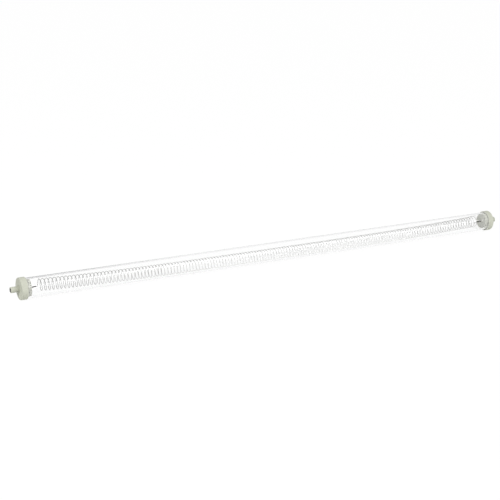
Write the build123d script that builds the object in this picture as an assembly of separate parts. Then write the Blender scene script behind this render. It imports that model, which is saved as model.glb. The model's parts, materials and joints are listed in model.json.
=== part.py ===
from build123d import *
from math import cos, pi, radians, sin, sqrt
import os

# Quartz heating element: a clear quartz tube holds an open coil of resistance wire. A ceramic cap
# closes each end, and a headed metal pin through each cap carries the current to the coil.
# The coil is stretched between the two pins, so its pull seats the caps on the tube.
# Millimetres. The origin is the middle of the tube, on its axis; +X runs along the tube, +Z is up.

# Quartz tube
TUBE_DIAMETER = 12.0
TUBE_WALL = 0.75
TUBE_LENGTH = 329.0
TUBE_LIP_CHAMFER = 0.15

# Ceramic end caps: a boss inside the tube, a flange against its end, a thin spigot outside
FLANGE_OVERHANG = 0.65
FLANGE_THICKNESS = 3.85
FLANGE_OUTER_FILLET = 0.45
FLANGE_INNER_CHAMFER = 0.2
BOSS_CLEARANCE = 0.08
BOSS_LENGTH = 2.4
BOSS_CHAMFER = 0.25
SPIGOT_DIAMETER = 3.5
SPIGOT_LENGTH = 5.05
SPIGOT_ROOT_FILLET = 0.3
SPIGOT_TIP_CHAMFER = 0.15
SPIGOT_RIM = 0.4

# Terminal pins: a contact head let into the spigot's end, and a shank that reaches into the tube
PIN_DIAMETER = 0.8
PIN_CLEARANCE = 0.05
PIN_REACH = 3.9
PIN_HEAD_THICKNESS = 0.9
PIN_HEAD_PROUD = 0.1
PIN_HEAD_CHAMFER = 0.1

# Heating coil: turns of round wire, drawn as straight runs of square wire with the same section area
WIRE_DIAMETER = 0.3
COIL_PLAY = 3.1
COIL_REST_GAP = 0.05
COIL_TURNS = 149.5
COIL_START_ANGLE = 90.0
COIL_TAIL = 1.9
COIL_TAIL_STUB = 0.5
COIL_END_STRETCH = 0.18
COIL_DENSEST_AT = 0.15
COIL_SAG_POWER = 3.2
COIL_END_LIFT = 0.75
RUNS_PER_TURN = 9

# Sizes that follow from the values above
bore_radius = TUBE_DIAMETER / 2 - TUBE_WALL
tube_end = TUBE_LENGTH / 2
boss_radius = bore_radius - BOSS_CLEARANCE
boss_face = tube_end - BOSS_LENGTH
flange_radius = TUBE_DIAMETER / 2 + FLANGE_OVERHANG
flange_face = tube_end + FLANGE_THICKNESS
spigot_radius = SPIGOT_DIAMETER / 2
spigot_end = flange_face + SPIGOT_LENGTH
pin_radius = PIN_DIAMETER / 2
pin_bore_radius = pin_radius + PIN_CLEARANCE
head_bore_radius = spigot_radius - SPIGOT_RIM
pin_head_radius = head_bore_radius - PIN_CLEARANCE
head_outer_face = spigot_end + PIN_HEAD_PROUD
head_seat = head_outer_face - PIN_HEAD_THICKNESS
pin_end = boss_face - PIN_REACH
wire_side = WIRE_DIAMETER * sqrt(pi) / 2
coil_radius = bore_radius - COIL_PLAY / 2 - WIRE_DIAMETER / 2
coil_end = pin_end - COIL_TAIL
coil_sag = bore_radius - coil_radius - wire_side / sqrt(2) - COIL_REST_GAP


def turned(outline):
    """Solid turned about the X axis from (x, radius) points."""
    profile = make_face(Polyline([(x, 0, radius) for x, radius in outline], close=True))
    return revolve(profile, axis=Axis.X)


def circle_edges(solid, x, radius):
    """Circular edges of a turned solid in the plane at x, with the given radius."""
    def fits(edge):
        return abs(edge.radius - radius) < 1e-6 and abs(edge.arc_center.X - x) < 1e-6

    return [edge for edge in solid.edges().filter_by(GeomType.CIRCLE) if fits(edge)]


def turned_round(solid):
    """The same piece at the other end of the tube."""
    return Rot(0, 0, 180) * solid


def quartz_tube():
    """Straight tube, its two cut ends broken with a small chamfer inside and outside."""
    tube_radius = TUBE_DIAMETER / 2
    tube = turned([
        (-tube_end, bore_radius),
        (tube_end, bore_radius),
        (tube_end, tube_radius),
        (-tube_end, tube_radius),
    ])
    lips = []
    for x in (-tube_end, tube_end):
        for radius in (bore_radius, tube_radius):
            lips += circle_edges(tube, x, radius)
    return chamfer(lips, TUBE_LIP_CHAMFER)


def end_cap():
    """Cap of the right end: the boss fits the tube's bore and the flange stops on the tube's end."""
    cap = turned([
        (boss_face, pin_bore_radius),
        (boss_face, boss_radius),
        (tube_end, boss_radius),
        (tube_end, flange_radius),
        (flange_face, flange_radius),
        (flange_face, spigot_radius),
        (spigot_end, spigot_radius),
        (spigot_end, head_bore_radius),
        (head_seat, head_bore_radius),
        (head_seat, pin_bore_radius),
    ])
    cap = fillet(circle_edges(cap, flange_face, flange_radius), FLANGE_OUTER_FILLET)
    cap = fillet(circle_edges(cap, flange_face, spigot_radius), SPIGOT_ROOT_FILLET)
    cap = chamfer(circle_edges(cap, tube_end, flange_radius), FLANGE_INNER_CHAMFER)
    cap = chamfer(circle_edges(cap, boss_face, boss_radius), BOSS_CHAMFER)
    return chamfer(circle_edges(cap, spigot_end, spigot_radius), SPIGOT_TIP_CHAMFER)


def terminal_pin():
    """Pin of the right end: its head sits on the seat in the spigot, its shank ends inside the tube."""
    pin = turned([
        (pin_end, 0),
        (pin_end, pin_radius),
        (head_seat, pin_radius),
        (head_seat, pin_head_radius),
        (head_outer_face, pin_head_radius),
        (head_outer_face, 0),
    ])
    return chamfer(circle_edges(pin, head_outer_face, pin_head_radius), PIN_HEAD_CHAMFER)


def coil_station(share):
    """Place along X of a point on the coil, from its share of the turns (-1 to 1).

    The pitch is widest at the ends and narrowest at COIL_DENSEST_AT.
    """
    def stretched(t):
        return t + COIL_END_STRETCH * (t - COIL_DENSEST_AT) ** 3 / 3

    low, high = stretched(-1), stretched(1)
    return coil_end * (2 * (stretched(share) - low) / (high - low) - 1)


def coil_point(share):
    """Point of the wire's centre line: a right-handed helix that sags onto the bore's floor.

    The sag is greatest in the middle, and the end turns stand a little above the axis.
    """
    x = coil_station(share)
    angle = radians(COIL_START_ANGLE) + pi * COIL_TURNS * (share + 1)
    sag = coil_sag - (coil_sag + COIL_END_LIFT) * abs(x / coil_end) ** COIL_SAG_POWER
    return Vector(x, coil_radius * cos(angle), coil_radius * sin(angle) - sag)


def coil_path():
    """Corners of the wire's centre line, from the left pin's end to the right pin's end."""
    runs = round(COIL_TURNS * RUNS_PER_TURN)
    turns = [coil_point(2 * i / runs - 1) for i in range(runs + 1)]
    stub_end = pin_end - COIL_TAIL_STUB
    left_tail = [Vector(-pin_end, 0, 0), Vector(-stub_end, 0, 0)]
    right_tail = [Vector(stub_end, 0, 0), Vector(pin_end, 0, 0)]
    return left_tail + turns + right_tail


def mitred_rings(path):
    """Four corners of the square wire at each point of the path, on the mitre between two runs."""
    runs = [(end - start).normalized() for start, end in zip(path, path[1:])]
    half = wire_side / 2
    ring = [path[0] + Vector(0, y * half, z * half) for y, z in ((1, 1), (-1, 1), (-1, -1), (1, -1))]
    rings = [ring]
    for joint, run, next_run in zip(path[1:], runs, runs[1:] + runs[-1:]):
        mitre = run + next_run
        ring = [corner + run * ((joint - corner).dot(mitre) / run.dot(mitre)) for corner in ring]
        rings.append(ring)
    return rings


def heating_coil():
    """One closed solid of flat faces from ring to ring, with a square face on each pin's end."""
    rings = mitred_rings(coil_path())
    faces = [Face(Wire.make_polygon(rings[0])), Face(Wire.make_polygon(rings[-1]))]
    for ring, next_ring in zip(rings, rings[1:]):
        for i in range(4):
            j = (i + 1) % 4
            faces.append(Face(Wire.make_polygon([ring[i], ring[j], next_ring[j], next_ring[i]])))
    return Solid(Shell(faces))


right_end_cap = end_cap()
right_terminal_pin = terminal_pin()
nodes = {
    "quartz_tube": quartz_tube(),
    "heating_coil": heating_coil(),
    "left_end_cap": turned_round(right_end_cap),
    "right_end_cap": right_end_cap,
    "left_terminal_pin": turned_round(right_terminal_pin),
    "right_terminal_pin": right_terminal_pin,
}

os.makedirs("parts", exist_ok=True)
for name, solid in nodes.items():
    export_step(solid, f"parts/{name}.step")
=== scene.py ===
# %% [markdown]
# # A quartz heating element
# The object is a clear quartz tube with an open coil of resistance wire stretched through it. A ceramic
# cap closes each end, and a dark steel pin through each cap feeds the coil. The CAD model is loaded
# first, as the frame that the pieces below are fitted to. Its round pieces come in as coarse
# triangles, so each one is modelled again here, smooth, in exactly the same place.

import json
import math

import bmesh
import bpy
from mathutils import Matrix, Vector


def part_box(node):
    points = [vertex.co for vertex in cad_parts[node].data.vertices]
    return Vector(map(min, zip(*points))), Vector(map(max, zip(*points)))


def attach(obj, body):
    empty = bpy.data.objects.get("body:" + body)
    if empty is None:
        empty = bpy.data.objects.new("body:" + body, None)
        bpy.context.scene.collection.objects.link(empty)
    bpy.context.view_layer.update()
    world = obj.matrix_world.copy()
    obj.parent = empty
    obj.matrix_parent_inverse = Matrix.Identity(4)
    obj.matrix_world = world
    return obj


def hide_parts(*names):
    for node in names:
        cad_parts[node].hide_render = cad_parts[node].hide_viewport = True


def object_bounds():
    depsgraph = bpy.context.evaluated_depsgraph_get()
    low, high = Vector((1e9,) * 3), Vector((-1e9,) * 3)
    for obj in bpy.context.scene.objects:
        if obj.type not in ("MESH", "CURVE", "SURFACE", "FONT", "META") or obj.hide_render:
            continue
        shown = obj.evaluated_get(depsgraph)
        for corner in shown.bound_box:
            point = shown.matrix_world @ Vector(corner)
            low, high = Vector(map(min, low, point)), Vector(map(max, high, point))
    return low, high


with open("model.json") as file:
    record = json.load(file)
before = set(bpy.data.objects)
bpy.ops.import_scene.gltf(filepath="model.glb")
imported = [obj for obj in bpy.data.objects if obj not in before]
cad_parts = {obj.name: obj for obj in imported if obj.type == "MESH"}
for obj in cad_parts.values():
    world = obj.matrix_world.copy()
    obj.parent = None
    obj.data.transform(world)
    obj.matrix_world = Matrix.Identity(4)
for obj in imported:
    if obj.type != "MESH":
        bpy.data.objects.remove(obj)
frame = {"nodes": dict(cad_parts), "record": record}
cad_low, cad_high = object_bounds()
bpy.ops.object.select_all(action="DESELECT")

MM = 0.001
print("CAD nodes:", sorted(frame["nodes"]))
print("CAD box in mm:", [round((b - a) / MM, 2) for a, b in zip(cad_low, cad_high)])

# %% [markdown]
# ## Sizes
# A turned piece's box gives its length and its largest radius. The tessellated circles only touch the
# true radius at some corners, so the largest reach in any direction is the true radius. The steps
# inside a cap and the thickness of the glass don't show in a box, so they are named here.

# %% Sizes from the frame
def reach(node):
    """Largest radius about the X axis, and the lowest and highest X, of a turned CAD node."""
    low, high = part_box(node)
    return max(-low.y, -low.z, high.y, high.z), low.x, high.x


tube_radius, tube_left, tube_right = reach("quartz_tube")
flange_radius, boss_face, spigot_end = reach("right_end_cap")
head_radius, pin_end, head_face = reach("right_terminal_pin")
spigot = next(m for m in frame["record"]["mounts"] if m["name"] == "right_spigot")
spigot_radius = spigot["dims"]["r_mm"] * MM

TUBE_WALL = 0.75 * MM
FLANGE_THICKNESS = 3.85 * MM
BOSS_CLEARANCE = 0.08 * MM
HEAD_THICKNESS = 0.9 * MM
PIN_CLEARANCE = 0.05 * MM
PIN_RADIUS = 0.4 * MM

bore_radius = tube_radius - TUBE_WALL
boss_radius = bore_radius - BOSS_CLEARANCE
flange_face = tube_right + FLANGE_THICKNESS
head_bore_radius = head_radius + PIN_CLEARANCE
head_seat = head_face - HEAD_THICKNESS
print(f"tube {2 * tube_radius / MM:.2f} x {(tube_right - tube_left) / MM:.1f} mm, "
      f"flange {2 * flange_radius / MM:.2f} mm, spigot {2 * spigot_radius / MM:.2f} mm")

# %% [markdown]
# ## Shader sums as Python
# A material's maths could be laid out by hand as boxes and wires, but it reads best as an expression.
# This class wraps an output socket, so that `1 - mask * 0.3` adds the Math nodes by itself. Every other
# node comes from `node`: its type, the settings that have to be made first, and what goes into its
# sockets, as values or as links.

# %% The shader class
class Signal:
    """An output socket of a node tree, to be used in sums."""

    def __init__(self, socket):
        self.socket = socket

    @staticmethod
    def node(tree, kind, settings=None, inputs=None, output=0):
        """Adds a node, and gives one of its outputs."""
        made = tree.nodes.new(kind)
        for name, value in (settings or {}).items():
            if name == "stops":
                Signal.set_stops(made.color_ramp, value)
            else:
                setattr(made, name, value)
        for name, value in (inputs or {}).items():
            if isinstance(value, Signal):
                tree.links.new(value.socket, made.inputs[name])
            else:
                made.inputs[name].default_value = value
        return Signal(made.outputs[output])

    @staticmethod
    def set_stops(ramp, stops):
        while len(ramp.elements) < len(stops):
            ramp.elements.new(1.0)
        for element, (place, colour) in zip(ramp.elements, stops):
            element.position = place
            element.color = colour

    def maths(self, operation, first, second=0.0):
        tree = self.socket.id_data
        return Signal.node(tree, "ShaderNodeMath", {"operation": operation}, {0: first, 1: second})

    def __add__(self, other):
        return self.maths("ADD", self, other)

    __radd__ = __add__

    def __sub__(self, other):
        return self.maths("SUBTRACT", self, other)

    def __rsub__(self, other):
        return self.maths("SUBTRACT", other, self)

    def __mul__(self, other):
        return self.maths("MULTIPLY", self, other)

    __rmul__ = __mul__

    def __truediv__(self, other):
        return self.maths("DIVIDE", self, other)

    def __pow__(self, other):
        return self.maths("POWER", self, other)

    def __abs__(self):
        return self.maths("ABSOLUTE", self)

    def maximum(self, other):
        return self.maths("MAXIMUM", self, other)

    def between(self, low, high):
        """0 below low, 1 above high and even between them; low may be the larger one."""
        tree = self.socket.id_data
        inputs = {"Value": self, "From Min": low, "From Max": high, "To Min": 0.0, "To Max": 1.0}
        return Signal.node(tree, "ShaderNodeMapRange", None, inputs)

    def part(self, axis):
        """One coordinate of a vector."""
        tree = self.socket.id_data
        return Signal.node(tree, "ShaderNodeSeparateXYZ", None, {"Vector": self}, output=axis)


print("shader class ready")

# %% [markdown]
# ## Parts of a material
# Blender's Principled shader can be glass, ceramic or metal, so every finish on this object starts from
# it. These helpers make one, link a signal to one of its inputs, and add what most finishes need: a
# noise, a blend of two colours, and a bump that tilts the surface without changing its shape.

# %% Helpers for materials
def new_material(name):
    """A material with a plain Principled shader, its node tree, and that shader's inputs by name."""
    material = bpy.data.materials.new(name)
    material.use_nodes = True
    return material, material.node_tree, material.node_tree.nodes["Principled BSDF"].inputs


def feed(tree, socket, signal):
    tree.links.new(signal.socket, socket)


def noise(tree, place, scale, detail=3.0, roughness=0.5):
    inputs = {"Vector": place, "Scale": scale, "Detail": detail, "Roughness": roughness}
    return Signal.node(tree, "ShaderNodeTexNoise", None, inputs)


def blend_colours(tree, factor, first, second):
    """A Mix node, which has sockets for every kind of value; 6, 7 and output 2 are its colours."""
    inputs = {0: factor, 6: first, 7: second}
    return Signal.node(tree, "ShaderNodeMix", {"data_type": "RGBA"}, inputs, output=2)


def bump(tree, height, strength, distance):
    inputs = {"Height": height, "Strength": strength, "Distance": distance}
    return Signal.node(tree, "ShaderNodeBump", None, inputs)


print("helpers for materials ready")

# %% [markdown]
# ## Clear quartz
# Fused quartz bends light a little less than window glass, and it has almost no colour. Drawn tubing
# isn't perfectly even: very long, shallow waves run along it. They could be modelled, but they are far
# too shallow to change the outline. So a noise stretched along X gives them as a faint bump, and
# another one a trace of haze.

# %% Quartz material
QUARTZ_IOR = 1.458
QUARTZ_TINT = (0.996, 0.998, 0.998, 1.0)
DRAWN_OUT = (0.04, 1.0, 1.0)  # the noise is 25 times longer along the tube
WAVE_SCALE = 260.0
WAVE_HEIGHT = 0.02 * MM
WAVE_STRENGTH = 0.03
HAZE_SCALE = 900.0
HAZE_ROUGHNESS = 0.012


def quartz_material():
    material, tree, inputs = new_material("clear_quartz")
    place = Signal.node(tree, "ShaderNodeTexCoord", output="Object")
    along = Signal.node(tree, "ShaderNodeMapping", None, {"Vector": place, "Scale": DRAWN_OUT})
    waves = noise(tree, along, WAVE_SCALE, detail=1.0)
    haze = noise(tree, along, HAZE_SCALE, detail=2.0)
    inputs["Base Color"].default_value = QUARTZ_TINT
    inputs["Transmission Weight"].default_value = 1.0
    inputs["IOR"].default_value = QUARTZ_IOR
    feed(tree, inputs["Roughness"], haze * HAZE_ROUGHNESS)
    feed(tree, inputs["Normal"], bump(tree, waves, WAVE_STRENGTH, WAVE_HEIGHT))
    return material


quartz = quartz_material()
print("made", quartz.name)

# %% [markdown]
# ## What every piece needs
# The tube, the caps and the pins are round about the X axis, so each starts as a cylinder along X. An
# operator acts on whatever is selected, so `take` first says what that is. A finished piece is shaded
# smooth, gets its material, and rides on the CAD body in the place of its CAD node.

# %% Helpers for every piece
ROUND = 96  # sides of a round piece
AREA_WEIGHT = 90  # 50 is neutral, and more favours the large faces


def take(piece):
    """Makes one piece the active one, and the only one selected."""
    bpy.ops.object.select_all(action="DESELECT")
    bpy.context.view_layer.objects.active = piece
    piece.select_set(True)


def cylinder(name, radius, left, right, sides, ends="NGON"):
    """A cylinder along X as the start of a turned piece, its turn applied to its mesh."""
    bpy.ops.object.select_all(action="DESELECT")
    bpy.ops.mesh.primitive_cylinder_add(vertices=sides, radius=radius, depth=right - left,
                                        end_fill_type=ends, rotation=(0, math.pi / 2, 0),
                                        location=((left + right) / 2, 0, 0))
    bpy.ops.object.transform_apply(location=True, rotation=True, scale=True)
    piece = bpy.context.object
    piece.name = name
    return piece


def smooth(piece, angle):
    """Smooth shading up to an angle in degrees, with large faces kept flat beside their bevels."""
    take(piece)
    bpy.ops.object.shade_smooth_by_angle(angle=math.radians(angle))
    by_area = piece.modifiers.new("by_area", "WEIGHTED_NORMAL")
    by_area.mode = "FACE_AREA"
    by_area.weight = AREA_WEIGHT
    by_area.keep_sharp = True
    bpy.ops.object.modifier_apply(modifier=by_area.name)


def seat(piece, node, material):
    """Gives a finished piece its material, and puts it in the place of its CAD node."""
    piece.data.materials.clear()
    piece.data.materials.append(material)
    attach(piece, "root")
    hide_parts(node)
    print(f"{piece.name}: {len(piece.data.polygons)} faces, stands for {node}")


print("a round piece gets", ROUND, "sides")

# %% [markdown]
# ## The tube
# A length of drawn tubing, with the sharp edges of its cut ends taken off. It could be spun from a
# profile; an open cylinder with a Solidify wall is quicker, and a Bevel on the sharp rims softens the
# lips.

# %% Quartz tube
LIP_CHAMFER = 0.15 * MM
LIP_ANGLE = math.radians(60)  # only the rims are sharper than this
SEAT_GAP = 0.02 * MM  # keeps the glass off the ceramic's face

tube = cylinder("clear_quartz_tube", tube_radius, tube_left + SEAT_GAP, tube_right - SEAT_GAP,
                ROUND, ends="NOTHING")
wall = tube.modifiers.new("wall", "SOLIDIFY")
wall.thickness = TUBE_WALL
wall.offset = -1.0
wall.use_even_offset = True
lips = tube.modifiers.new("lips", "BEVEL")
lips.width = LIP_CHAMFER
lips.segments = 3
lips.limit_method = "ANGLE"
lips.angle_limit = LIP_ANGLE
for name in ("wall", "lips"):
    bpy.ops.object.modifier_apply(modifier=name)
smooth(tube, angle=30)
seat(tube, "quartz_tube", quartz)

# %% [markdown]
# ## Fired ceramic
# The caps are pressed and fired, without a glaze: a pale grey-green cream with a fine grain, slightly
# uneven in tone, and dull. A picture could be wrapped round a cap, but it would show a seam; a noise
# fills the space and has none. Three noises give the tone, the grain and the small pits, and the last
# two also make the bump, so that the highlights break up. Inside the tube the ceramic is painted paler:
# painted light that makes up for the light the glass keeps from it. At the spigot's root it is painted
# darker: painted shade in the corner against the flange. The place along X and the distance from the
# axis pick the colour.

# %% Ceramic material
CERAMIC_PALE = (0.64, 0.655, 0.56, 1.0)
CERAMIC_DEEP = (0.55, 0.565, 0.46, 1.0)
# Paler ceramic inside the tube: painted light, making up for the light that the glass keeps from it
CERAMIC_PAINTED_LIGHT = (0.77, 0.775, 0.70, 1.0)
# Darker ceramic at the spigot's root: painted shade in the corner against the flange
CERAMIC_ROOT_SHADE = (0.44, 0.45, 0.37, 1.0)
CERAMIC_SPECULAR = 0.4
CERAMIC_ROUGHNESS = 0.5
GRAIN_ROUGHNESS = 0.2  # added where the grain stands highest
PAINTED_LIGHT_EDGE = 0.3 * MM
PAINTED_LIGHT_TONE = 0.1  # how much of the noise tone still shows on the paler, painted-light ceramic
ROOT_SHADE_LENGTH = 3.2 * MM  # along the spigot, from the flange
ROOT_SHADE_RIM = 0.6 * MM  # round the spigot
TONE_SCALE = 240.0
GRAIN_SCALE = 2600.0
GRAIN_HEIGHT = 0.03 * MM
GRAIN_STRENGTH = 0.5
PIT_SCALE = 3600.0
PIT_NOISE = (0.68, 0.76)  # noise values at a pit's rim and at its floor
TONE_SHARE, GRAIN_SHARE, PIT_SHARE = 0.45, 0.35, 0.4  # what each noise adds to the shade


def ceramic_material():
    material, tree, inputs = new_material("fired_ceramic")
    place = Signal.node(tree, "ShaderNodeTexCoord", output="Object")
    tone = noise(tree, place, TONE_SCALE, detail=2.0)
    grain = noise(tree, place, GRAIN_SCALE, detail=4.0, roughness=0.6)
    pits = noise(tree, place, PIT_SCALE, detail=1.0).between(*PIT_NOISE)
    shade = tone * TONE_SHARE + grain * GRAIN_SHARE + pits * PIT_SHARE
    ceramic_tone = blend_colours(tree, shade, CERAMIC_PALE, CERAMIC_DEEP)
    outward = abs(place.part("X"))
    from_axis = (place.part("Y") ** 2 + place.part("Z") ** 2) ** 0.5
    # Painted shade: the spigot darkens towards the flange, and so does the flange's face just round it
    on_spigot = outward.between(flange_face + ROOT_SHADE_LENGTH, flange_face)
    on_spigot *= outward.between(flange_face - ROOT_SHADE_RIM, flange_face)
    root_shade = on_spigot * from_axis.between(spigot_radius + ROOT_SHADE_RIM, spigot_radius)
    with_root_shade = blend_colours(tree, root_shade, ceramic_tone, CERAMIC_ROOT_SHADE)
    # Painted light: inside the tube the ceramic is made paler
    painted_light = outward.between(tube_right + PAINTED_LIGHT_EDGE, tube_right) * (1 - shade * PAINTED_LIGHT_TONE)
    feed(tree, inputs["Base Color"], blend_colours(tree, painted_light, with_root_shade, CERAMIC_PAINTED_LIGHT))
    feed(tree, inputs["Roughness"], CERAMIC_ROUGHNESS + grain * GRAIN_ROUGHNESS)
    feed(tree, inputs["Normal"], bump(tree, grain - pits, GRAIN_STRENGTH, GRAIN_HEIGHT))
    inputs["Specular IOR Level"].default_value = CERAMIC_SPECULAR
    return material


ceramic = ceramic_material()
print("made", ceramic.name)

# %% [markdown]
# ## Working by hand, in code
# A hand goes into edit mode and picks a face or a ring of edges before it shapes anything. These helpers
# do the same. They could pick by number, but the numbers of faces and edges change with every step, so
# they pick by place.

# %% Helpers for picking
NEAR = 0.004 * MM
FLAT_ENOUGH = 0.99  # least share of a face's normal along X
SIDE_CORNERS = 4  # corners of a face on a round side; an end face has more


def edit(piece):
    """Edit mode on one piece, with nothing selected."""
    take(piece)
    bpy.ops.object.mode_set(mode="EDIT")
    bpy.ops.mesh.select_mode(type="FACE")
    bpy.ops.mesh.select_all(action="DESELECT")


def leave_edit():
    """Turns all faces outwards, and goes back to object mode."""
    bpy.ops.mesh.select_all(action="SELECT")
    bpy.ops.mesh.normals_make_consistent(inside=False)
    bpy.ops.object.mode_set(mode="OBJECT")


def pick_end_face(piece, x, direction):
    """Selects the flat end face at x that looks along +X (direction 1) or -X (direction -1)."""
    bpy.ops.mesh.select_all(action="DESELECT")
    bpy.ops.mesh.select_mode(type="FACE")
    mesh = bmesh.from_edit_mesh(piece.data)

    def is_end(face):
        at_x = abs(face.calc_center_median().x - x) < NEAR
        looks_along = face.normal.x * direction > FLAT_ENOUGH
        return at_x and looks_along and len(face.verts) > SIDE_CORNERS

    next(face for face in mesh.faces if is_end(face)).select_set(True)
    bmesh.update_edit_mesh(piece.data)


def pick_ring(piece, x, radius, add=False):
    """Selects the edges of the circle at x with this radius."""
    if not add:
        bpy.ops.mesh.select_all(action="DESELECT")
    bpy.ops.mesh.select_mode(type="EDGE")
    mesh = bmesh.from_edit_mesh(piece.data)

    def on_ring(vert):
        return abs(vert.co.x - x) < NEAR and abs(math.hypot(vert.co.y, vert.co.z) - radius) < NEAR

    for ring_edge in mesh.edges:
        if all(on_ring(v) for v in ring_edge.verts):
            ring_edge.select_set(True)
    bmesh.update_edit_mesh(piece.data)


print(f"places are met to {NEAR / MM:.3f} mm")

# %% [markdown]
# ## Three moves
# All the steps of a turned piece come from three moves: a face is pulled along the axis, it is brought to
# another radius in its own plane, and a ring of edges is rounded. Inset could do the second one, but it
# takes a width and only goes inwards; an extrusion that is scaled takes the radius itself.

# %% Helpers for shaping
def pull(distance):
    """Extrudes the selected face along X."""
    bpy.ops.mesh.extrude_region_move(
        TRANSFORM_OT_translate={"value": (distance, 0, 0), "orient_type": "GLOBAL"})


def step_to(x, old_radius, new_radius):
    """Extrudes the selected round face in its own plane, to a smaller or larger radius."""
    ratio = new_radius / old_radius
    bpy.ops.mesh.extrude_region_move(TRANSFORM_OT_translate={"value": (0, 0, 0)})
    bpy.ops.transform.resize(value=(1, ratio, ratio), center_override=(x, 0, 0))


def round_ring(piece, x, radius, width, segments):
    """Bevels the circle at x."""
    pick_ring(piece, x, radius)
    bpy.ops.mesh.bevel(offset=width, offset_type="OFFSET", segments=segments, affect="EDGES")


print("helpers for shaping ready")

# %% [markdown]
# ## The end caps
# A cap is one fired piece: a boss inside the tube, a flange that stops on the tube's end, and a thin
# spigot outside. It could be spun from its outline; here each step of it is one step of the work, so
# that it can be changed alone. It starts as the flange's cylinder. The outer face is narrowed and pulled
# into the spigot, then narrowed and pushed back for the pin's head. The inner face is narrowed and
# pulled into the boss. Bridging the two holes makes the bore for the pin.

# %% The right cap's steps
pin_bore = PIN_RADIUS + PIN_CLEARANCE

cap_right = cylinder("right_ceramic_cap", flange_radius, tube_right, flange_face, ROUND)
edit(cap_right)
pick_end_face(cap_right, flange_face, 1)
step_to(flange_face, flange_radius, spigot_radius)
pull(spigot_end - flange_face)
step_to(spigot_end, spigot_radius, head_bore_radius)
pull(head_seat - spigot_end)
step_to(head_seat, head_bore_radius, pin_bore)
bpy.ops.mesh.delete(type="FACE")
pick_end_face(cap_right, tube_right, -1)
step_to(tube_right, flange_radius, boss_radius)
pull(boss_face - tube_right)
step_to(boss_face, boss_radius, pin_bore)
bpy.ops.mesh.delete(type="FACE")
pick_ring(cap_right, head_seat, pin_bore)
pick_ring(cap_right, boss_face, pin_bore, add=True)
bpy.ops.mesh.bridge_edge_loops()
print("the stepped cap has", len(bmesh.from_edit_mesh(cap_right.data).faces), "faces")

# %% [markdown]
# ## The cap's edges
# A pressed piece leaves its mould with soft edges. A Bevel modifier would round all of them alike, but
# the flange's rim is much rounder than the spigot's tip, so each ring is picked and bevelled by itself.

# %% The right cap's edges
FLANGE_FILLET = 0.45 * MM
FLANGE_BACK_CHAMFER = 0.2 * MM
BOSS_CHAMFER = 0.25 * MM
SPIGOT_ROOT = 0.3 * MM
SPIGOT_TIP = 0.15 * MM

round_ring(cap_right, flange_face, flange_radius, FLANGE_FILLET, segments=5)
round_ring(cap_right, flange_face, spigot_radius, SPIGOT_ROOT, segments=4)
round_ring(cap_right, spigot_end, spigot_radius, SPIGOT_TIP, segments=3)
round_ring(cap_right, tube_right, flange_radius, FLANGE_BACK_CHAMFER, segments=3)
round_ring(cap_right, boss_face, boss_radius, BOSS_CHAMFER, segments=3)
leave_edit()
smooth(cap_right, angle=40)
print("the finished cap has", len(cap_right.data.polygons), "faces")

# %% [markdown]
# ## The left cap
# Both ends have the same cap, so the left one is a copy, turned half round about Z. A mirror would look
# the same on a round piece, but it turns a mesh inside out, and a turn doesn't.

# %% Both caps seated
def turned_copy(piece, name):
    """A copy at the other end of the tube, turned half round about Z, with its own mesh."""
    take(piece)
    bpy.ops.object.duplicate(linked=False)
    copy = bpy.context.object
    copy.name = name
    copy.rotation_euler = (0, 0, math.pi)
    bpy.ops.object.transform_apply(location=False, rotation=True, scale=False)
    return copy


cap_left = turned_copy(cap_right, "left_ceramic_cap")
seat(cap_right, "right_end_cap", ceramic)
seat(cap_left, "left_end_cap", ceramic)

# %% [markdown]
# ## Dark steel
# The pins look as steel does that has been hot: dark and dull, with a little bare metal where the scale
# is thin. One flat dark colour would look like plastic, so a noise blends two tones in patches, and a
# finer one roughens the skin.

# %% Pin material
SCALE_DARK = (0.035, 0.034, 0.03, 1.0)
SCALE_THIN = (0.12, 0.115, 0.10, 1.0)
STEEL_METALLIC = 0.85
STEEL_ROUGHNESS = 0.38
SCALE_ROUGHNESS = 0.25  # added where the grain stands highest
PATCH_SCALE = 1400.0
SCALE_GRAIN = 7000.0
SCALE_GRAIN_HEIGHT = 0.01 * MM
SCALE_GRAIN_STRENGTH = 0.2


def dark_steel_material():
    material, tree, inputs = new_material("oxidised_steel")
    place = Signal.node(tree, "ShaderNodeTexCoord", output="Object")
    patches = noise(tree, place, PATCH_SCALE, detail=3.0)
    fine = noise(tree, place, SCALE_GRAIN, detail=2.0)
    feed(tree, inputs["Base Color"], blend_colours(tree, patches, SCALE_DARK, SCALE_THIN))
    feed(tree, inputs["Roughness"], STEEL_ROUGHNESS + fine * SCALE_ROUGHNESS)
    feed(tree, inputs["Normal"], bump(tree, fine, SCALE_GRAIN_STRENGTH, SCALE_GRAIN_HEIGHT))
    inputs["Metallic"].default_value = STEEL_METALLIC
    return material


dark_steel = dark_steel_material()
print("made", dark_steel.name)

# %% [markdown]
# ## The terminal pins
# A plain headed pin. It could be two cylinders, one in the other, but then it would hide faces inside.
# So the shank is a thin cylinder, and its outer face is widened and pulled into the head. The head's rim
# is rounded, as a formed head's is.

# %% Terminal pins
PIN_SIDES = 48
HEAD_ROUND = 0.1 * MM
PIN_END_ROUND = 0.08 * MM

pin_right = cylinder("right_steel_pin", PIN_RADIUS, pin_end, head_seat, PIN_SIDES)
edit(pin_right)
pick_end_face(pin_right, head_seat, 1)
step_to(head_seat, PIN_RADIUS, head_radius)
pull(head_face - head_seat)
round_ring(pin_right, head_face, head_radius, HEAD_ROUND, segments=3)
round_ring(pin_right, pin_end, PIN_RADIUS, PIN_END_ROUND, segments=2)
leave_edit()
smooth(pin_right, angle=40)
pin_left = turned_copy(pin_right, "left_steel_pin")
seat(pin_right, "right_terminal_pin", dark_steel)
seat(pin_left, "left_terminal_pin", dark_steel)

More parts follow.
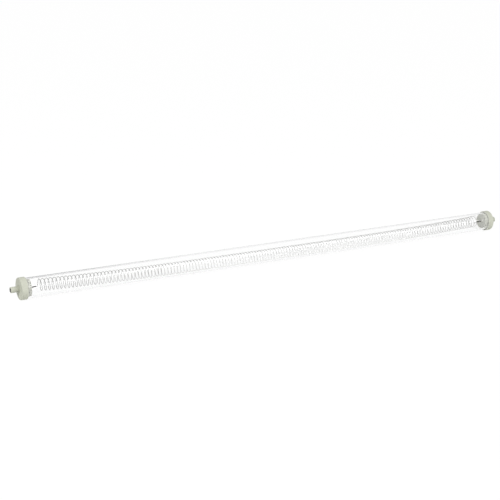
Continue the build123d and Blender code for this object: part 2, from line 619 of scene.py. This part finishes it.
# %% [markdown]
# ## The coil's measures
# The wire's finish and its shape both follow the same line: turns of one radius about a centre line
# that hangs from the two pins and lies on the tube's floor in the middle. So its measures come first.
# `sag_at` is plain arithmetic, so it works on a number as well as on a shader's signal.

# %% Measures of the coil
WIRE_RADIUS = 0.15 * MM
COIL_PLAY = 3.1 * MM
COIL_REST_GAP = 0.05 * MM
COIL_TAIL = 1.9 * MM
SAG_POWER = 3.2
END_LIFT = 0.75 * MM

coil_radius = bore_radius - COIL_PLAY / 2 - WIRE_RADIUS
coil_end = pin_end - COIL_TAIL
coil_sag = bore_radius - coil_radius - WIRE_RADIUS - COIL_REST_GAP


def sag_at(along):
    """How far the turns' centre lies below the axis, from -1 at the left end to 1 at the right end."""
    return coil_sag - (coil_sag + END_LIFT) * abs(along) ** SAG_POWER


print(f"coil {2 * (coil_radius + WIRE_RADIUS) / MM:.2f} mm across, {2 * coil_end / MM:.1f} mm long, "
      f"{sag_at(0) / MM:.2f} mm of sag")

# %% [markdown]
# ## Bright wire
# Annealed resistance wire has a thin dark grey skin. Here that dark grey is laid on as painted shade: on
# the end turns, and in the middle of the tube just on the front of the tops, so that each top shows as a
# dot. The rest of the middle turns get a bright painted sheen. A strip of painted colours could follow
# the
# wire. Object coordinates are simpler: the place along the tube, the height in the turn and the side of
# it set where the painted shade lies, and a noise breaks it up.

# %% Wire material
# The dark grey is the wire's skin, but where it lies is painted shade; the bright colour is bare metal
# and a painted sheen
WIRE_BARE_AND_SHEEN = (0.95, 0.945, 0.93, 1.0)
WIRE_SKIN_AND_SHADE = (0.20, 0.195, 0.185, 1.0)
WIRE_ROUGHNESS = 0.28
DRAW_LINE_ROUGHNESS = 0.2  # added by the lines that drawing leaves
SHEEN_MIDDLE = 0.17  # in half lengths of the coil, right of its middle
SHEEN_EDGES = (0.38, 1.12)  # from there, where the painted shade starts and where it is full
SHADE_HEIGHTS = (0.2, 1.0)  # in turn radii above a turn's centre
FAR_SIDE = (-0.1, 0.35)  # in turn radii behind the axis, where a top's painted shade thins and where it is thin
FAR_THINNING = 0.8
TOP_SHADE = 0.9
END_SHADE = 0.85
SHADE_LEAST, SHADE_SPREAD = 0.8, 0.4  # what the noise leaves of the painted shade, and what it adds
WIRE_TONE_SCALE = 700.0
DRAW_LINE_SCALE = 9000.0


def wire_material():
    material, tree, inputs = new_material("bright_wire")
    place = Signal.node(tree, "ShaderNodeTexCoord", output="Object")
    along = place.part("X") / coil_end
    # Painted shade on the tops of the turns, thinner on the far side, and on the end turns
    top = ((place.part("Z") + sag_at(along)) / coil_radius).between(*SHADE_HEIGHTS)
    top *= 1 - FAR_THINNING * (place.part("Y") / coil_radius).between(*FAR_SIDE)
    end = abs(along - SHEEN_MIDDLE).between(*SHEEN_EDGES)
    painted_shade = (top * (TOP_SHADE + (1 - TOP_SHADE) * end)).maximum(end * END_SHADE)
    tone = noise(tree, place, WIRE_TONE_SCALE, detail=2.0)
    lines = noise(tree, place, DRAW_LINE_SCALE, detail=2.0)
    uneven = painted_shade * (SHADE_LEAST + tone * SHADE_SPREAD)
    feed(tree, inputs["Base Color"], blend_colours(tree, uneven, WIRE_BARE_AND_SHEEN, WIRE_SKIN_AND_SHADE))
    feed(tree, inputs["Roughness"], WIRE_ROUGHNESS + lines * DRAW_LINE_ROUGHNESS)
    inputs["Metallic"].default_value = 1.0
    return material


bright_wire = wire_material()
print("made", bright_wire.name)

# %% [markdown]
# ## The coil's line
# One wire, wound right-handed and stretched between the pins. The pull leaves the end turns a little
# wider apart than the middle ones, and the coil's weight lets it sag until it lies on the tube's floor.
# A Screw modifier winds an even coil on a straight axis only, so a formula gives the line here.

# %% Line of the turns
COIL_TURNS = 149.5
COIL_START_ANGLE = math.radians(90)
END_STRETCH = 0.18
DENSEST_AT = 0.15  # share of the turns, from -1 to 1, where they lie closest
POINTS_PER_TURN = 36


def stretched(share):
    """Place along the coil before it is brought to its length: wider apart away from DENSEST_AT."""
    return share + END_STRETCH * (share - DENSEST_AT) ** 3 / 3


def coil_point(share):
    """A point of the wire's centre line; share runs from -1 at the left end to 1 at the right end."""
    low, high = stretched(-1), stretched(1)
    x = coil_end * (2 * (stretched(share) - low) / (high - low) - 1)
    angle = COIL_START_ANGLE + math.pi * COIL_TURNS * (share + 1)
    sag = sag_at(x / coil_end)
    return Vector((x, coil_radius * math.cos(angle), coil_radius * math.sin(angle) - sag))


steps = round(COIL_TURNS * POINTS_PER_TURN)
turns = [coil_point(2 * i / steps - 1) for i in range(steps + 1)]
print(f"{COIL_TURNS} turns of {POINTS_PER_TURN} points, "
      f"from {turns[0].x / MM:.1f} to {turns[-1].x / MM:.1f} mm")

# %% [markdown]
# ## The coil's tails
# Each tail leaves its pin along the axis, and swings out to the first turn. Straight runs would show a
# kink, so the tail is a Hermite curve: it is given two points, and its direction at each of them.

# %% Line of the tails
TAIL_STUB = 0.5 * MM
TAIL_SWING = 1.05  # in turn radii, how far a tail runs on in the first turn's direction
TAIL_POINTS = 24
SMALL_STEP = 1e-4  # share of the turns that gives the direction at the coil's end


def tail(side):
    """Points from the pin's end on the axis to just before the coil's end, on a smooth curve."""
    start = Vector((side * (pin_end - TAIL_STUB), 0, 0))
    end = coil_point(side)
    onward = (end - coil_point(side * (1 - SMALL_STEP))).normalized()
    leave = Vector((-side, 0, 0)) * COIL_TAIL
    arrive = -onward * TAIL_SWING * coil_radius
    points = [Vector((side * pin_end, 0, 0))]
    for i in range(TAIL_POINTS):
        t = i / TAIL_POINTS
        points.append((2 * t**3 - 3 * t**2 + 1) * start + (t**3 - 2 * t**2 + t) * leave
                      + (-2 * t**3 + 3 * t**2) * end + (t**3 - t**2) * arrive)
    return points


route = tail(-1) + turns + tail(1)[::-1]
print("the whole line has", len(route), "points")

# %% [markdown]
# ## From line to wire
# The wire is drawn round and has one thickness all along. A circle could be extruded from point to point;
# a curve does that by itself: it takes the points of the line, and its round bevel is the wire. The
# curve is then made a mesh, like the other pieces.

# %% Coil
bpy.ops.object.select_all(action="DESELECT")
bpy.ops.curve.primitive_nurbs_path_add(enter_editmode=False, location=(0, 0, 0))
curve = bpy.context.object.data
curve.splines.clear()
spline = curve.splines.new("POLY")
spline.points.add(len(route) - 1)
for point, place in zip(spline.points, route):
    point.co = (*place, 1.0)
curve.dimensions = "3D"
curve.bevel_depth = WIRE_RADIUS
curve.bevel_resolution = 2
curve.use_fill_caps = True
curve.twist_mode = "MINIMUM"

bpy.ops.object.convert(target="MESH")
coil = bpy.context.object
coil.name = "resistance_coil"
edit(coil)
bpy.ops.mesh.select_all(action="SELECT")
bpy.ops.mesh.remove_doubles(threshold=NEAR)
leave_edit()
smooth(coil, angle=50)
seat(coil, "heating_coil", bright_wire)

# %% [markdown]
# ## A white studio
# The photograph's ground is pure white with hardly any shadow. A white floor would need so much light
# that the object would fade, so this one is a pale plane that adds its own white where the camera, a
# reflection or the glass looks at it, and still takes a faint shadow. As a source of light it is white
# under the tube and grey beyond its left end, so that less light comes up from there, and the underside
# of the left spigot stays nearly as dark as in the photograph.

# %% Floor
FLOOR_SIZE = 6.0
FLOOR_CATCH = (0.06, 0.06, 0.06, 1.0)
FLOOR_WHITE = (1.0, 1.0, 1.0, 1.0)
FLOOR_GLOW = 0.96
FLOOR_BOUNCE = (0.90, 0.90, 0.90, 1.0)
FLOOR_EDGE = (0.40, 0.40, 0.40, 1.0)
EDGE_START = 2 * MM  # left of the tube's end
EDGE_FULL = 30 * MM


def seen_directly(tree):
    """1 where the ray comes from the camera, a reflection or the glass."""
    camera_ray = Signal.node(tree, "ShaderNodeLightPath", output="Is Camera Ray")
    rays = camera_ray.socket.node.outputs
    return camera_ray.maximum(Signal(rays["Is Glossy Ray"])).maximum(Signal(rays["Is Transmission Ray"]))


def floor_material():
    material = bpy.data.materials.new("white_floor")
    material.use_nodes = True
    tree = material.node_tree
    tree.nodes.clear()
    seen = seen_directly(tree)
    catch = Signal.node(tree, "ShaderNodeBsdfDiffuse", None, {"Color": FLOOR_CATCH})
    glow = Signal.node(tree, "ShaderNodeEmission", None, {"Color": FLOOR_WHITE, "Strength": FLOOR_GLOW})
    shown = Signal.node(tree, "ShaderNodeAddShader", None, {0: catch, 1: glow})
    place = Signal.node(tree, "ShaderNodeTexCoord", output="Object")
    edge = place.part("X").between(tube_left - EDGE_START, tube_left - EDGE_FULL)
    bounce = blend_colours(tree, edge, FLOOR_BOUNCE, FLOOR_EDGE)
    plain = Signal.node(tree, "ShaderNodeBsdfDiffuse", None, {"Color": bounce})
    surface = Signal.node(tree, "ShaderNodeMixShader", None, {0: seen, 1: plain, 2: shown})
    out = tree.nodes.new("ShaderNodeOutputMaterial")
    feed(tree, out.inputs["Surface"], surface)
    return material


bpy.ops.object.select_all(action="DESELECT")
bpy.ops.mesh.primitive_plane_add(size=FLOOR_SIZE, location=(0, 0, cad_low.z))
floor = bpy.context.object
floor.name = "white_floor"
floor.data.materials.append(floor_material())
print("floor at z", round(cad_low.z / MM, 2), "mm")

# %% [markdown]
# ## White sky and grey cards
# The sky is white wherever the camera, a reflection or the glass looks at it, and a softer light for
# everything else, weaker from the left. Clear glass between a white floor and a white sky would vanish,
# so a photographer stands grey cards beside it, out of the picture. Three cards stand low in this sky:
# a long one behind the tube on the left, and two in front for the views from behind. They take no
# light from the object, and only a reflection or the glass shows them. The tube's wall bends the view
# up to them, and that draws the thin grey line along its top edge, darker on the left.

# %% World
SKY_WHITE = (1.0, 1.0, 1.0, 1.0)
SKY_TOP = (0.88, 0.88, 0.88, 1.0)
TOP_HEIGHT = 0.6  # how far up a direction looks where the sky has its top tone
SKY_LEVEL = 0.70
SKY_LEVEL_LEFT = 0.35
LEFT_FADE = (0.0, -1.0)  # how far right a direction looks where the light starts to fade, and is weakest
CARD_GREY = (0.10, 0.10, 0.11, 1.0)
CARD_HEIGHTS = (0.40, 0.12)  # how far up it looks where a card's soft upper edge ends, and is full
CARD_DEPTHS = (0.3, 0.6)  # how far back or forward it looks where a card begins, and is full
CARD_WEAK = 0.24  # strength of the grey beyond a card's end
# How far right a direction looks at a card's end, and where the card is full
BACK_CARD = (0.40, 0.27)
FRONT_LEFT_CARD = (0.25, 0.15)
FRONT_RIGHT_CARD = (0.60, 0.68)

world = bpy.data.worlds.new("studio")
bpy.context.scene.world = world
world.use_nodes = True
sky = world.node_tree
sky.nodes.clear()
direction = Signal.node(sky, "ShaderNodeTexCoord", output="Generated")
to_right, to_back, height = (direction.part(axis) for axis in "XYZ")


def card(depth, weak_from, full_from):
    """Strength of a card on one side of the tube, from its end to where it is full."""
    full = to_right.between(weak_from, full_from)
    return depth.between(*CARD_DEPTHS) * (CARD_WEAK + (1 - CARD_WEAK) * full)


stops = [(0.0, SKY_WHITE), (TOP_HEIGHT, SKY_TOP)]
soft = Signal.node(sky, "ShaderNodeValToRGB", {"stops": stops}, {"Fac": height})
level = SKY_LEVEL - (SKY_LEVEL - SKY_LEVEL_LEFT) * to_right.between(*LEFT_FADE)
light = Signal.node(sky, "ShaderNodeBackground", None, {"Color": soft, "Strength": level})
front_card = card(0 - to_back, *FRONT_LEFT_CARD).maximum(card(0 - to_back, *FRONT_RIGHT_CARD))
cards = card(to_back, *BACK_CARD) + front_card
camera_ray = Signal.node(sky, "ShaderNodeLightPath", output="Is Camera Ray")
grey = cards * height.between(*CARD_HEIGHTS) * (1 - camera_ray)
ground = blend_colours(sky, grey, SKY_WHITE, CARD_GREY)
shown = Signal.node(sky, "ShaderNodeBackground", None, {"Color": ground, "Strength": 1.0})
mixed = Signal.node(sky, "ShaderNodeMixShader", None, {0: seen_directly(sky), 1: light, 2: shown})
world_out = sky.nodes.new("ShaderNodeOutputWorld")
feed(sky, world_out.inputs["Surface"], mixed)
print("world ready:", len(sky.nodes), "nodes")

# %% [markdown]
# ## Light
# A long soft box stands in front on the right, parallel to the tube. Its reflection runs along the
# glass as a pale band across the turns. A smaller one, up in front on the left, lights the left cap's
# face, so that the spigot throws a soft shadow down across it. A point lamp would throw a hard one; an
# area light's size sets how soft the shadow's edge is.

# %% Soft boxes
FRONT_BOX = Vector((0.315, -0.553, 0.302))
FRONT_BOX_SIZE = (0.66, 0.26)
FRONT_BOX_POWER = 1.14
LEFT_BOX = Vector((-0.65, -0.38, 0.51))
LEFT_BOX_SIZE = (0.20, 0.20)
LEFT_BOX_POWER = 3.1


def soft_box(name, place, aim, size, power):
    """An oval area light at place that faces aim."""
    bpy.ops.object.light_add(type="AREA", location=place)
    lamp = bpy.context.object
    lamp.name = name
    lamp.data.shape = "ELLIPSE"
    lamp.data.size, lamp.data.size_y = size
    lamp.data.energy = power
    lamp.rotation_euler = (aim - place).to_track_quat("-Z", "Y").to_euler()
    print(name, power, "W")


soft_box("front_box", FRONT_BOX, Vector((FRONT_BOX.x, 0, 0)), FRONT_BOX_SIZE, FRONT_BOX_POWER)
soft_box("left_box", LEFT_BOX, Vector((tube_left, 0, 0)), LEFT_BOX_SIZE, LEFT_BOX_POWER)

# %% [markdown]
# ## Camera
# The view runs along the tube from near left to far right, from a little above. The camera could be
# placed by eye; here its place was worked out from the edges of the caps and the tube in the photograph,
# for a lens of 90 mm.

# %% Camera
VIEW_AZIMUTH = math.radians(-27.649)
VIEW_ELEVATION = math.radians(16.039)
VIEW_DISTANCE = 784.92 * MM
VIEW_TARGET = Vector((-18.268, 0.0, 3.294)) * MM
VIEW_LENS = 90.0
SENSOR_WIDTH = 36.0
NEAREST_SEEN = 10 * MM

back = Vector((math.sin(VIEW_AZIMUTH) * math.cos(VIEW_ELEVATION),
               -math.cos(VIEW_AZIMUTH) * math.cos(VIEW_ELEVATION),
               math.sin(VIEW_ELEVATION)))
bpy.ops.object.camera_add(location=VIEW_TARGET + back * VIEW_DISTANCE)
camera = bpy.context.object
camera.rotation_euler = (-back).to_track_quat("-Z", "Y").to_euler()
camera.data.lens = VIEW_LENS
camera.data.sensor_width = SENSOR_WIDTH
camera.data.clip_start = NEAREST_SEEN
bpy.context.scene.camera = camera
bpy.context.scene.view_settings.view_transform = "Standard"
print("camera at", [round(c, 4) for c in camera.location])
